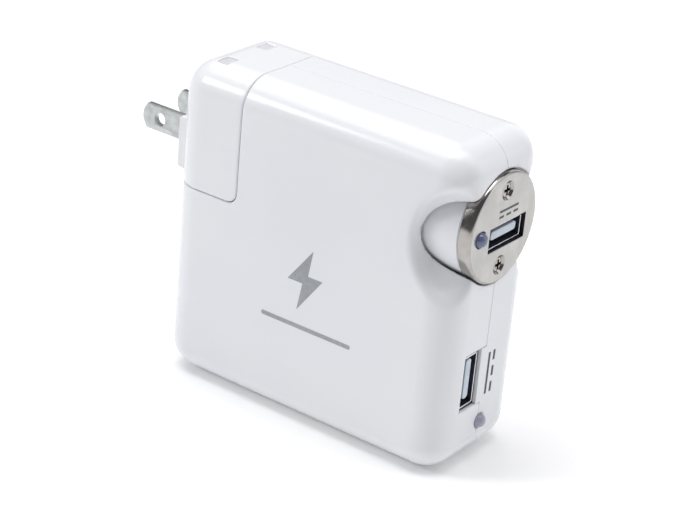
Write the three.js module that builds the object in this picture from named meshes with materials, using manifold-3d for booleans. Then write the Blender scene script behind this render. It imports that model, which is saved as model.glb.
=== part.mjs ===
import * as THREE from 'three';
import { RoundedBoxGeometry } from 'three/addons/geometries/RoundedBoxGeometry.js';
import { mergeVertices } from 'three/addons/utils/BufferGeometryUtils.js';
import Module from 'manifold-3d';

// USB wall charger with a slide-off plug head and a docked in-car charger. Millimetres.
// +X is the port side, -Y the front, +Z up. The origin is the centre of the base it stands on.

// Housing
const WIDTH = 82;
const DEPTH = 32.8;
const HEIGHT = 80;
const ROUND = 8;
const ROUND_STEPS = 4;
const WALL = 2;
const GAP = 0.3;
const PARTING_Y = 0.3;
const SIDE_X = WIDTH / 2;
const WIRE_SEGMENTS = 3;

// Plug head: the block at the top -X corner
const HEAD_X = -20.9;
const HEAD_Z = 49.2;
const HEAD_CORNER = 2.9;
const BOSS = { out: 3, halfWidth: 10.5, low: 50.1, high: 63.3, chamfer: 0.8 };
const BLADE = { thick: 1.5, tall: 6.35, pitch: 12.7, tip: -58.6, root: -27, z: 58.5 };
const BLADE_HOLE = { r: 1.6, fromTip: 5.8 };
const TOP_PLUG = { x: -32.2, front: -8.3, back: 5.9, length: 2.7, width: 3.8, flange: 0.7, sunk: 0.3 };
const BUTTON = { z: 66, shank: 2, head: 3.6, headThick: 1.1 };

// Two-pin inlet under the plug head
const INLET_X = -29.5;
const PIN_PITCH = 8.7;
const PIN_R = 1.18;
const INLET = { r: 4, plugR: 3.4, bottom: 35, top: 46.6, floor: 36.8, halfX: 6.5, halfY: 10.5 };

// Dock and in-car charger; the charger's own x runs back from its cap face
const CHARGER_X = 41.7;
const CHARGER_Z = 59.6;
const MOUTH_R = 13.75;
const BORE_R = 13.35;
const THROAT_R = 11.9;
const SLEEVE_R = 14.1;
const SLEEVE_FRONT = 25.9;
const SLEEVE_BACK = -16.4;
const CAP = { r: 13.45, deep: 3.3, face: 1.3, rim: 0.7 };
const COLLAR_R = 13;
const SHAFT_R = 10.4;
const SKIN = 1.6;
const NOSE_X = -49;
const TIP_X = -55.3;
const SCREW = { z: 9.05, head: 2, shank: 1, long: 11 };
const SIDE_CONTACT = { from: -45, to: -35, out: 11.5, halfWidth: 1.4 };
const SCOOP = { x: 41.9, z: 58, rx: 13.4, ry: 8.3, rz: 14.1 };

// USB-A receptacles
const USB = { wide: 13.2, tall: 5.5, deep: 12.5, sheet: 0.45, tongueWide: 10.6, tongue: 1.8 };
const CAP_PORT = { y: 1.8, z: -1.75, wide: 14.6, tall: 6.1 };
const CAP_LIGHT = { y: -9, z: -0.2, r: 1.9 };
const LOW_PORT = { y: -4.75, z: 22.5, wide: 14.5, tall: 6.5 };
const LOW_LIGHT = { y: 1.05, z: 10.1, r: 1.95 };

const wasm = await Module();
wasm.setup();

// ---------- solids ----------

// A closed three.js geometry as a manifold solid.
function solid(geometry) {
  const bare = geometry.clone();
  for (const name of Object.keys(bare.attributes)) {
    if (name !== 'position') bare.deleteAttribute(name);
  }
  const merged = mergeVertices(bare, 1e-4);
  const corners = merged.index.array;
  const triangles = [];
  for (let i = 0; i < corners.length; i += 3) {
    const [a, b, c] = [corners[i], corners[i + 1], corners[i + 2]];
    if (a !== b && b !== c && c !== a) triangles.push(a, b, c);
  }
  const vertProperties = Float32Array.from(merged.attributes.position.array);
  const triVerts = Uint32Array.from(triangles);
  return new wasm.Manifold(new wasm.Mesh({ numProp: 3, vertProperties, triVerts }));
}

// A manifold solid as a flat-shaded three.js geometry.
function geometryOf(made) {
  const mesh = made.getMesh();
  const geometry = new THREE.BufferGeometry();
  geometry.setAttribute('position', new THREE.BufferAttribute(mesh.vertProperties, 3));
  geometry.setIndex(new THREE.BufferAttribute(mesh.triVerts, 1));
  const flat = geometry.toNonIndexed();
  flat.computeVertexNormals();
  return flat;
}

function join(...geometries) {
  const all = geometries.map(solid);
  return geometryOf(all.reduce((sum, next) => sum.add(next)));
}

function cut(geometry, ...tools) {
  return geometryOf(tools.map(solid).reduce((rest, tool) => rest.subtract(tool), solid(geometry)));
}

function common(first, second) {
  return geometryOf(solid(first).intersect(solid(second)));
}

// ---------- shapes ----------

// A box between two limits on each axis.
function box([x0, x1], [y0, y1], [z0, z1]) {
  const geometry = new THREE.BoxGeometry(x1 - x0, y1 - y0, z1 - z0);
  return geometry.translate((x0 + x1) / 2, (y0 + y1) / 2, (z0 + z1) / 2);
}

// A cylinder from a to b along one axis; the other two coordinates follow in X, Y, Z order.
function rod(axis, r, [a, b], u, v, sides = 20) {
  const geometry = new THREE.CylinderGeometry(r, r, b - a, sides).translate(0, (a + b) / 2, 0);
  if (axis === 'x') return geometry.rotateZ(-Math.PI / 2).translate(0, u, v);
  if (axis === 'y') return geometry.translate(u, 0, v);
  return geometry.rotateX(Math.PI / 2).translate(u, v, 0);
}

// A turned part round the X axis, from [x, radius] pairs that start and end on the axis or form a ring.
function turned(profile, sides = 32) {
  const points = profile.map(([x, r]) => new THREE.Vector2(r, x));
  return new THREE.LatheGeometry(points, sides).rotateZ(-Math.PI / 2);
}

function ring(profile, sides = 32) {
  return turned([...profile, profile[0]], sides);
}

// An outline in the XZ plane, extruded from y0 to y1.
function plate(shape, [y0, y1], curveSegments = 6) {
  const geometry = new THREE.ExtrudeGeometry(shape, { depth: y1 - y0, bevelEnabled: false, curveSegments });
  return geometry.rotateX(Math.PI / 2).translate(0, y1, 0);
}

function outline(points) {
  return new THREE.Shape(points.map(([x, z]) => new THREE.Vector2(x, z)));
}

// A round wire or lead along points.
function wire(points, r, steps) {
  const curve = new THREE.CatmullRomCurve3(points.map((p) => new THREE.Vector3(...p)));
  const section = new THREE.Shape();
  section.absarc(0, 0, r, 0, 2 * Math.PI);
  return new THREE.ExtrudeGeometry(section, { steps, extrudePath: curve, curveSegments: WIRE_SEGMENTS });
}

// The housing's outer form, shrunk by an inset; its base stays at the inset height.
function pebble(inset) {
  const size = [WIDTH, DEPTH, HEIGHT].map((length) => length - 2 * inset);
  return new RoundedBoxGeometry(...size, ROUND_STEPS, ROUND - inset).translate(0, 0, HEIGHT / 2);
}

// The top -X corner beyond the plug head's seam, moved inwards by an inset.
function headCorner(inset, radius, [y0, y1]) {
  const x = HEAD_X - inset;
  const z = HEAD_Z + inset;
  const far = -WIDTH;
  const top = HEIGHT + 10;
  const shape = new THREE.Shape();
  shape.moveTo(far, z);
  shape.lineTo(x - radius, z);
  shape.absarc(x - radius, z + radius, radius, -Math.PI / 2, 0);
  shape.lineTo(x, top);
  shape.lineTo(far, top);
  shape.closePath();
  return plate(shape, [y0, y1], 5);
}

function paint(color, roughness, metalness = 0) {
  return new THREE.MeshStandardMaterial({ color, roughness, metalness });
}

const GLOSS_WHITE = paint(0xf4f5f7, 0.18);
const SOFT_GREY = paint(0xd9dadd, 0.4);
const SATIN_METAL = paint(0xc9c7c1, 0.3, 1);
const BLADE_METAL = paint(0xb9bcbc, 0.32, 1);
const TIN = paint(0xc4c8cc, 0.25, 1);
const BRASS = paint(0xc9a458, 0.3, 1);
const LENS = paint(0x7d84b0, 0.15);
const BLACK_PLASTIC = paint(0x1d1e20, 0.5);
const BOARD_GREEN = paint(0x2c6b45, 0.55);
const FERRITE = paint(0x35363a, 0.6);
const TAPE_YELLOW = paint(0xd8b53a, 0.5);
const COPPER = paint(0xb4693a, 0.35, 1);
const CAN_BLUE = paint(0x2b3c63, 0.4);
const BARE_ALUMINIUM = paint(0xb5b8bb, 0.35, 1);

const group = new THREE.Group();

function add(name, geometry, material, parent = group) {
  const mesh = new THREE.Mesh(geometry, material);
  mesh.name = name;
  parent.add(mesh);
}

// ---------- housing ----------

const acrossDepth = [-DEPTH, DEPTH];
const bore = rod('x', MOUTH_R, [SLEEVE_FRONT - 1, SIDE_X + 5], 0, CHARGER_Z, 36);

function scoop(side) {
  const ball = new THREE.SphereGeometry(1, 22, 14).scale(SCOOP.rx, SCOOP.ry, SCOOP.rz);
  return ball.translate(SCOOP.x, (side * DEPTH) / 2, SCOOP.z);
}

// The hollow inside the housing: clear of the plug head's recess and of the solid block round the bore.
function cavity() {
  const recess = headCorner(-GAP / 2 - WALL, HEAD_CORNER, acrossDepth);
  const boreBlock = box([SLEEVE_FRONT + GAP, WIDTH], acrossDepth, [CHARGER_Z - 15, CHARGER_Z + 15]);
  return cut(pebble(WALL), recess, boreBlock);
}

function inletOpening(r, [z0, z1]) {
  const round = (y) => rod('z', r, [z0, z1], INLET_X, y, 20);
  const half = PIN_PITCH / 2;
  const bridge = box([INLET_X - r * 0.8, INLET_X + r * 0.8], [-half, half], [z0, z1]);
  return join(round(-half), round(half), bridge);
}

// Both half shells before they are parted.
function housing() {
  const recess = headCorner(-GAP / 2, HEAD_CORNER + GAP, acrossDepth);
  const buttonHole = rod('x', BUTTON.shank + GAP, [HEAD_X - 1, HEAD_X + 4], 0, BUTTON.z, 16);
  const inletHole = inletOpening(INLET.r, [INLET.top, HEAD_Z + 1]);
  const lightHole = rod('x', LOW_LIGHT.r + GAP, [SIDE_X - 4, SIDE_X + 1], LOW_LIGHT.y, LOW_LIGHT.z, 20);
  return cut(pebble(0), recess, cavity(), bore, scoop(-1), scoop(1), buttonHole, inletHole, lightHole);
}

const whole = housing();
const portLow = LOW_PORT.z - LOW_PORT.wide / 2;
const portHigh = LOW_PORT.z + LOW_PORT.wide / 2;
const portFront = LOW_PORT.y - LOW_PORT.tall / 2;
const portBack = LOW_PORT.y + LOW_PORT.tall / 2;
const seamFront = PARTING_Y - GAP / 2;
const seamBack = PARTING_Y + GAP / 2;

const frontHalf = box([-WIDTH, WIDTH], [-DEPTH, seamFront], [-1, HEIGHT + 1]);
const backHalf = box([-WIDTH, WIDTH], [seamBack, DEPTH], [-1, HEIGHT + 1]);
const portWindow = box([SIDE_X - WALL - 1, SIDE_X + 1], [portFront, DEPTH / 2], [portLow, portHigh]);
const portLip = box([SIDE_X - WALL, SIDE_X], [portBack, seamBack + 0.5], [portLow + GAP, portHigh - GAP]);

add('front_shell', cut(common(whole, frontHalf), portWindow), GLOSS_WHITE);
add('back_shell', join(common(whole, backHalf), portLip), GLOSS_WHITE);

function buttonSpool() {
  const outer = HEAD_X + GAP / 2;
  const headBack = outer - 2.6;
  const inner = outer + WALL + GAP;
  return turned([
    [headBack - BUTTON.headThick, 0], [headBack - BUTTON.headThick, BUTTON.head - 0.4],
    [headBack - BUTTON.headThick + 0.4, BUTTON.head], [headBack, BUTTON.head], [headBack, BUTTON.shank],
    [inner, BUTTON.shank], [inner, BUTTON.shank + 1], [inner + 0.9, BUTTON.shank + 1], [inner + 0.9, 0],
  ], 16).translate(0, 0, BUTTON.z);
}
add('guide_button', buttonSpool(), TIN);

// ---------- dock ----------

function dockSleeve() {
  const end = SLEEVE_BACK + 1.2;
  const body = turned([
    [SLEEVE_BACK, 0], [SLEEVE_BACK, SLEEVE_R], [SLEEVE_FRONT, SLEEVE_R], [SLEEVE_FRONT, BORE_R],
    [18.5, BORE_R], [17, THROAT_R], [5.3, THROAT_R], [5.3, 13.5], [-3.3, 13.5], [-3.3, THROAT_R],
    [end, THROAT_R], [end, 0],
  ], 28);
  const contactHole = rod('x', 2.2, [SLEEVE_BACK - 1, end + 1], 0, 0, 16);
  const tailWindow = box([-0.5, 2.5], [-1.5, 1.5], [-SLEEVE_R - 1, -THROAT_R]);
  return cut(body, contactHole, tailWindow).translate(0, 0, CHARGER_Z);
}

function dockContact() {
  const strap = [-17.6, -16.75];
  const stud = turned([[-17.4, 0], [-17.4, 1.9], [-14.5, 1.9], [-14.1, 1.4], [-14.1, 0]], 16);
  const drop = box(strap, [-2.5, 2.5], [42, CHARGER_Z + 2.5]);
  const foot = box(strap, [-2.5, 10.9], [40, 42.5]);
  return join(stud.translate(0, 0, CHARGER_Z), drop, foot);
}

function dockEarthRing() {
  const band = ring([[-3, THROAT_R], [-3, 13.2], [5, 13.2], [5, THROAT_R]], 28).translate(0, 0, CHARGER_Z);
  const tail = box([0, 2], [-1, 1], [42.4, CHARGER_Z - 12.3]);
  const foot = box([0, 2], [-1, 10.9], [42, 43.2]);
  return join(band, tail, foot);
}

add('dock_sleeve', dockSleeve(), BLACK_PLASTIC);
add('dock_contact', dockContact(), BRASS);
add('dock_earth_ring', dockEarthRing(), BRASS);

// ---------- electronics ----------

const BOARD_FACE = 11.2;
const onBoard = BOARD_FACE - GAP;

function transformerCore() {
  const block = box([-12, 12], [-4, 7], [10, 32]);
  const window = (x0, x1) => box([x0, x1], [-5, 8], [13, 29]);
  return cut(block, window(-8.3, -3.7), window(3.7, 8.3));
}

function transformerCoil() {
  const drum = new RoundedBoxGeometry(15.8, 20, 15.4, 2, 3).translate(0, 0.6, 21);
  return cut(drum, box([-4.1, 4.1], [-4.4, 7.4], [10, 32]));
}

function heatSink() {
  const back = box([17, 18.5], [-9, onBoard], [8, 30]);
  const fins = [9, 15, 21, 27].map((z) => box([14.6, 17.5], [-9, onBoard], [z, z + 1.4]));
  return join(back, ...fins);
}

add('main_board', box([-34.5, 25], [BOARD_FACE, 12.8], [6, 43.5]), BOARD_GREEN);
add('insulating_sheet', box([-33.5, 24], [13.4, 13.9], [7.5, 43]), SOFT_GREY);
add('input_capacitor', rod('z', 6.4, [7, 28], -28.5, 4, 24), CAN_BLUE);
add('fuse', rod('z', 2.4, [9, 27], -17, 8.2, 16), SOFT_GREY);
add('transformer_core', transformerCore(), FERRITE);
add('transformer_coil', transformerCoil(), TAPE_YELLOW);
add('choke_core', rod('y', 5, [2, onBoard], -8, 38, 20), COPPER);
add('noise_capacitor', box([0, 13], [3, onBoard], [34.3, 41.5]), TAPE_YELLOW);
add('rectifier', box([16, 24], [7.5, onBoard], [34, 41]), BLACK_PLASTIC);
add('heat_sink', heatSink(), BARE_ALUMINIUM);
add('power_switch', box([18.8, 21.4], [-6, 6], [12, 24]), BLACK_PLASTIC);
add('output_capacitor', rod('y', 3.4, [0, onBoard], 22.3, 29.5, 20), CAN_BLUE);

function inletBlock() {
  const { bottom, top, floor, halfX, halfY } = INLET;
  const block = box([INLET_X - halfX, INLET_X + halfX], [-halfY, halfY], [bottom, top]);
  const pocket = inletOpening(INLET.r, [floor, top + 1]);
  const half = PIN_PITCH / 2;
  const holes = [-half, half].map((y) => rod('z', PIN_R + GAP, [bottom - 1, top], INLET_X, y, 12));
  return cut(block, pocket, ...holes);
}
add('inlet_block', inletBlock(), BLACK_PLASTIC);

// Each lead drops from its pin and runs back over the input capacitor to the board.
for (const [name, side] of [['front', -1], ['back', 1]]) {
  const y = (side * PIN_PITCH) / 2;
  const endX = INLET_X + (side < 0 ? 6.5 : -2.5);
  const route = [
    [INLET_X, y, 32.6], [INLET_X, y, 31.2], [(INLET_X + endX) / 2, y + 3, 29.7],
    [endX, 9.4, 29.7], [endX, 10.8, 29.7],
  ];
  add(`inlet_pin_${name}`, rod('z', PIN_R, [33, 45.8], INLET_X, y, 12), TIN);
  add(`inlet_lead_${name}`, wire(route, 0.8, 9), BLACK_PLASTIC);
}

// ---------- USB-A receptacles, opening towards +X at the origin ----------

function usbShell() {
  const { wide, tall, deep, sheet } = USB;
  const outer = box([-deep, 0], [-wide / 2, wide / 2], [-tall / 2, tall / 2]);
  const reach = [-deep - 1, 1];
  return cut(outer, box(reach, [sheet - wide / 2, wide / 2 - sheet], [sheet - tall / 2, tall / 2 - sheet]));
}

function usbTongue() {
  const { wide, tall, deep, sheet, tongueWide, tongue } = USB;
  const side = wide / 2 - sheet - GAP;
  const high = tall / 2 - sheet - GAP;
  const bar = box([-deep, -1.2], [-tongueWide / 2, tongueWide / 2], [high - tongue, high]);
  return join(bar, box([-deep - 0.6, -deep + 2], [-side, side], [-high, high]));
}

const lowPort = new THREE.Group();
lowPort.position.set(SIDE_X - 0.5, LOW_PORT.y, LOW_PORT.z);
lowPort.rotation.x = Math.PI / 2;
group.add(lowPort);
add('port_shell', usbShell(), TIN, lowPort);
add('port_tongue', usbTongue(), SOFT_GREY, lowPort);

const lensDome = (r) => turned([[-3.2, 0], [-3.2, r], [-0.1, r], [0.2, r * 0.75], [0.35, 0]], 20);
add('port_light', lensDome(LOW_LIGHT.r).translate(SIDE_X, LOW_LIGHT.y, LOW_LIGHT.z), LENS);
add('port_board', box([24, 37.2], [-1.6, -0.1], [6, 33]), BOARD_GREEN);

// ---------- plug head ----------

function headBoss() {
  const { out, halfWidth, low, high, chamfer } = BOSS;
  const face = -SIDE_X - out;
  const shape = outline([
    [-SIDE_X + 3, low], [face + chamfer, low], [face, low + chamfer],
    [face, high - chamfer], [face + chamfer, high], [-SIDE_X + 3, high],
  ]);
  return plate(shape, [-halfWidth, halfWidth]);
}

function headShell() {
  const block = common(pebble(0), headCorner(GAP / 2, HEAD_CORNER, acrossDepth));
  const hollow = cut(join(block, headBoss()), pebble(WALL));
  const openings = [];
  for (const side of [-1, 1]) {
    const y = (side * BLADE.pitch) / 2;
    const half = BLADE.thick / 2 + GAP;
    const tall = BLADE.tall / 2 + GAP;
    openings.push(box([-50, -30], [y - half, y + half], [BLADE.z - tall, BLADE.z + tall]));
    const plugX = TOP_PLUG.length / 2 + GAP;
    const plugY = TOP_PLUG.width / 2 + GAP;
    const centre = side < 0 ? TOP_PLUG.front : TOP_PLUG.back;
    const sides = [centre - plugY, centre + plugY];
    openings.push(box([TOP_PLUG.x - plugX, TOP_PLUG.x + plugX], sides, [HEIGHT - 5, HEIGHT + 1]));
  }
  return cut(hollow, ...openings);
}

// L-shaped inner cover with the guide slot, and the figure-of-eight plug that enters the inlet.
function headCover() {
  const reach = [-DEPTH / 2, DEPTH / 2];
  const room = 2;
  const ell = cut(headCorner(GAP / 2, HEAD_CORNER, reach), headCorner(GAP / 2 + room, 0.9, acrossDepth));
  const plug = inletOpening(INLET.plugR, [38.6, HEAD_Z + 1]);
  const face = HEAD_X - GAP / 2;
  const shankSlot = box([face - 4, face + 1], [-2.4, 2.4], [HEAD_Z - 1, BUTTON.z + 2.6]);
  const headSlot = box([face - 4.2, face - room + 0.01], [-4.1, 4.1], [HEAD_Z - 1, BUTTON.z + 4.2]);
  const half = PIN_PITCH / 2;
  const bores = [-half, half].map((y) => rod('z', 2.1, [30, 60], INLET_X, y, 16));
  return cut(join(common(ell, pebble(WALL + GAP)), plug), shankSlot, headSlot, ...bores);
}

function blade() {
  const low = BLADE.z - BLADE.tall / 2;
  const high = BLADE.z + BLADE.tall / 2;
  const shape = new THREE.Shape();
  shape.moveTo(BLADE.root, low);
  shape.lineTo(BLADE.root, high);
  shape.lineTo(BLADE.tip + 1.7, high);
  shape.quadraticCurveTo(BLADE.tip - 0.9, BLADE.z, BLADE.tip + 1.7, low);
  shape.closePath();
  const hole = new THREE.Path();
  hole.absarc(BLADE.tip + BLADE_HOLE.fromTip, BLADE.z, BLADE_HOLE.r, 0, 2 * Math.PI);
  shape.holes.push(hole);
  return plate(shape, [-BLADE.thick / 2, BLADE.thick / 2], 10);
}

// A socket for an inlet pin, with a strap up to the root of its blade.
function terminal(y, bladeY) {
  const barrel = rod('z', 1.8, [39.2, 52.2], INLET_X, y, 16);
  const across = [Math.min(y, bladeY) - 0.75, Math.max(y, bladeY) + 0.75];
  const strap = box([INLET_X - 0.8, INLET_X + 0.8], across, [51.8, 55]);
  return cut(join(barrel, strap), rod('z', PIN_R + GAP, [38, 47.5], INLET_X, y, 16));
}

function topPlug(y) {
  const { x, length, width, flange, sunk } = TOP_PLUG;
  const block = (grow, z) => {
    const alongX = [x - length / 2 - grow, x + length / 2 + grow];
    return box(alongX, [y - width / 2 - grow, y + width / 2 + grow], z);
  };
  return join(block(0, [HEIGHT - 3, HEIGHT - sunk]), block(flange, [HEIGHT - 3.8, HEIGHT - WALL - 1]));
}

const plugHead = new THREE.Group();
group.add(plugHead);
add('plug_head_shell', headShell(), GLOSS_WHITE, plugHead);
add('plug_head_cover', headCover(), GLOSS_WHITE, plugHead);
for (const [name, side] of [['front', -1], ['back', 1]]) {
  const bladeY = (side * BLADE.pitch) / 2;
  const topY = side < 0 ? TOP_PLUG.front : TOP_PLUG.back;
  add(`blade_${name}`, blade().translate(0, bladeY, 0), BLADE_METAL, plugHead);
  add(`terminal_${name}`, terminal((side * PIN_PITCH) / 2, bladeY), BRASS, plugHead);
  add(`top_plug_${name}`, topPlug(topY), SOFT_GREY, plugHead);
}

// ---------- in-car charger: origin on its axis at the cap face ----------

function capBody() {
  const { r, deep, face, rim } = CAP;
  const cup = turned([
    [-face, 0], [-face, r - 1.1], [-deep, r - 1.1], [-deep, r], [-rim, r], [0, r - rim], [0, 0],
  ], 36);
  const { y, z, wide, tall } = CAP_PORT;
  const port = box([-5, 1], [y - wide / 2, y + wide / 2], [z - tall / 2, z + tall / 2]);
  const light = rod('x', CAP_LIGHT.r + GAP, [-5, 1], CAP_LIGHT.y, CAP_LIGHT.z, 20);
  const screwHoles = [-1, 1].map((side) => {
    const hole = turned([
      [-5, 0], [-5, SCREW.shank + GAP], [-CAP.face, SCREW.shank + GAP],
      [-0.4, SCREW.head + GAP], [0.3, SCREW.head + GAP], [0.3, 0],
    ], 20);
    return hole.translate(0, 0, side * SCREW.z);
  });
  return cut(cup, port, light, ...screwHoles);
}

function capScrew() {
  const { head, shank, long } = SCREW;
  const body = turned([
    [-long, 0], [-long, shank], [-1.05, shank], [-0.35, head], [-0.15, head], [-0.15, 0],
  ], 20);
  const slot = (wideY, wideZ) => box([-0.8, 1], [-wideY, wideY], [-wideZ, wideZ]);
  return cut(body, slot(1.2, 0.3), slot(0.3, 1.2));
}

function barrelBody() {
  const start = -CAP.deep - GAP;
  const skin = ring([
    [NOSE_X, 6], [NOSE_X, 7.6], [NOSE_X + 2.4, SHAFT_R], [-25, SHAFT_R], [-22, COLLAR_R],
    [start, COLLAR_R], [start, COLLAR_R - SKIN], [-21.5, COLLAR_R - SKIN], [-24.5, SHAFT_R - SKIN],
    [NOSE_X + 3, SHAFT_R - SKIN], [NOSE_X + 1.6, 6],
  ], 28);
  const posts = [-1, 1].map((side) => rod('x', 2.6, [-16, start], 0, side * SCREW.z, 16));
  const { from, to } = SIDE_CONTACT;
  const slot = (y) => box([from - GAP, to + GAP], y, [-1.8, 1.8]);
  const hole = (z) => rod('x', SCREW.shank + GAP, [-SCREW.long - 1, 0], 0, z, 12);
  const cuts = [slot([-SHAFT_R - 1, -5]), slot([5, SHAFT_R + 1]), hole(-SCREW.z), hole(SCREW.z)];
  return cut(join(skin, ...posts), ...cuts);
}

// A sprung earth contact: a rib through the barrel's slot on a wider foot inside it.
function sideContact() {
  const { from, to, out, halfWidth } = SIDE_CONTACT;
  const shape = outline([[from + 1.6, out], [from, 8], [to, 8], [to - 1.6, out]]);
  const rib = new THREE.ExtrudeGeometry(shape, { depth: 2 * halfWidth, bevelEnabled: false });
  return join(rib.translate(0, 0, -halfWidth), box([from - 1, to + 1], [7.5, 8.3], [-2, 2]));
}

function tipNut() {
  const back = NOSE_X - GAP;
  return ring([
    [back - 3.1, 2.8], [back - 3.1, 5.2], [back - 1, 7.4], [back, 7.4], [back, 3.9],
    [back - 0.9, 3.9], [back - 0.9, 2.8],
  ], 20);
}

function tipPin() {
  const collar = NOSE_X - 0.9;
  return turned([
    [TIP_X, 0], [TIP_X, 1.2], [TIP_X + 1, 2.3], [collar, 2.3], [collar, 3.4],
    [collar + 1.6, 3.4], [collar + 1.6, 0],
  ], 20);
}

function tipSpring() {
  const turns = 3;
  const stepsPerTurn = 8;
  const points = [];
  for (let i = 0; i <= turns * stepsPerTurn; i += 1) {
    const angle = (2 * Math.PI * i) / stepsPerTurn;
    points.push([-46 + (2 * i) / (turns * stepsPerTurn), 2 * Math.cos(angle), 2 * Math.sin(angle)]);
  }
  return wire(points, 0.24, turns * stepsPerTurn);
}

const charger = new THREE.Group();
charger.position.set(CHARGER_X, 0, CHARGER_Z);
group.add(charger);
add('cap', capBody(), SATIN_METAL, charger);
add('cap_screw_upper', capScrew().translate(0, 0, SCREW.z), TIN, charger);
add('cap_screw_lower', capScrew().translate(0, 0, -SCREW.z), TIN, charger);
add('cap_light', lensDome(CAP_LIGHT.r).translate(-0.1, CAP_LIGHT.y, CAP_LIGHT.z), LENS, charger);
add('barrel', barrelBody(), GLOSS_WHITE, charger);
add('car_port_shell', usbShell().translate(-0.4, CAP_PORT.y, CAP_PORT.z), TIN, charger);
add('car_port_tongue', usbTongue().translate(-0.4, CAP_PORT.y, CAP_PORT.z), SOFT_GREY, charger);
add('car_board', box([-44, -14], [-6.4, 6.4], [-5, -3.6]), BOARD_GREEN, charger);
const coil = ring([[-2, 1.6], [-2, 4.2], [2, 4.2], [2, 1.6]], 20).rotateY(Math.PI / 2);
add('car_coil', coil.translate(-19.5, 0, -1.2), COPPER, charger);
add('car_capacitor', rod('z', 3.1, [-3.3, 4], -28.5, 0, 20), CAN_BLUE, charger);
add('tip_fuse', rod('x', 2.4, [-43.5, -33], 0, 0, 16), SOFT_GREY, charger);
add('tip_spring', tipSpring(), TIN, charger);
add('tip_nut', tipNut(), TIN, charger);
add('tip_pin', tipPin(), TIN, charger);
add('side_contact_back', sideContact(), TIN, charger);
add('side_contact_front', sideContact().rotateX(Math.PI), TIN, charger);

export default group;
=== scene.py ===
import math

import bmesh
import bpy
import numpy as np
from mathutils import Matrix, Vector


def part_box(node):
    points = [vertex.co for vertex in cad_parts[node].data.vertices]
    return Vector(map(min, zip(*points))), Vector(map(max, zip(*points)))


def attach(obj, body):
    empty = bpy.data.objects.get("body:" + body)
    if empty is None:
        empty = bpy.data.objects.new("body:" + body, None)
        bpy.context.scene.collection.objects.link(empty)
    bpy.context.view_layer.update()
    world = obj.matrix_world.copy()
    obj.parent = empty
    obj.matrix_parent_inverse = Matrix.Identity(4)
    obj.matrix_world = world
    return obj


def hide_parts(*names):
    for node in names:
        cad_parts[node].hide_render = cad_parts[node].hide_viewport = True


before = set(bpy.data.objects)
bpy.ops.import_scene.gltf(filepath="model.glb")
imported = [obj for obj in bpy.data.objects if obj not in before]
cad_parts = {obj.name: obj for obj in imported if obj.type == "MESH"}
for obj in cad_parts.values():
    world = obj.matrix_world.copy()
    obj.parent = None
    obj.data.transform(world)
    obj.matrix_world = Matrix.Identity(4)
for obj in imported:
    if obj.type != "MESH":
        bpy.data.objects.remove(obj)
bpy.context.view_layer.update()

MM = 0.001


def box_mm(node):
    """Lowest and highest corner of a CAD node, in millimetres."""
    low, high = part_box(node)
    return np.array(low) / MM, np.array(high) / MM


def centre_mm(node):
    low, high = box_mm(node)
    return (low + high) / 2


# ---------------------------------------------------------------- sizes, in millimetres, from the frame

BODY_HIGH = box_mm("back_shell")[1]
SIDE_X = BODY_HIGH[0]
HALF_DEPTH = BODY_HIGH[1]
HEIGHT = BODY_HIGH[2]
PARTING_Y = box_mm("front_shell")[1][1] + 0.15
ROUND = 8.0
WALL = 2.0

SEAM_X = box_mm("plug_head_shell")[1][0] + 0.15
SEAM_Z = box_mm("plug_head_shell")[0][2] - 0.15
SEAM_CORNER = 2.9
SEAM_HALF = 0.1
BOSS_X = box_mm("plug_head_shell")[0][0]
BOSS_HALF_WIDTH = 10.5
BOSS_LOW = 50.1
BOSS_HIGH = 63.3
BOSS_CHAMFER = 0.8
BOSS_EDGE = 0.35

CAP_X = box_mm("cap")[1][0]
CAP_BACK_X = box_mm("cap")[0][0]
CAP_R = (box_mm("cap")[1][2] - box_mm("cap")[0][2]) / 2
AXIS_Z = centre_mm("cap")[2]
MOUTH_R = 13.75
BORE_BLOCK_X = box_mm("dock_sleeve")[1][0] + 0.3
BORE_BLOCK_HALF = 15.0
SCOOP_CENTRE = np.array([41.9, HALF_DEPTH, 58.0])
SCOOP_RADII = np.array([13.4, 8.3, 14.1])
SCOOP_BLEND = 2.0

LOW_PORT = centre_mm("port_shell")
LOW_WINDOW = (6.5, 14.5)
LOW_LIGHT = centre_mm("port_light")
LOW_LIGHT_HOLE = 1.92
CAP_PORT = centre_mm("car_port_shell")
CAP_WINDOW = (14.6, 6.1)
CAP_LIGHT = centre_mm("cap_light")
INLET_X = centre_mm("inlet_pin_front")[0]
PIN_Y = centre_mm("inlet_pin_back")[1]
INLET_R = 4.0
BUTTON_Z = centre_mm("guide_button")[2]
BUTTON_HOLE = 2.3


# ---------------------------------------------------------------- materials

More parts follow.
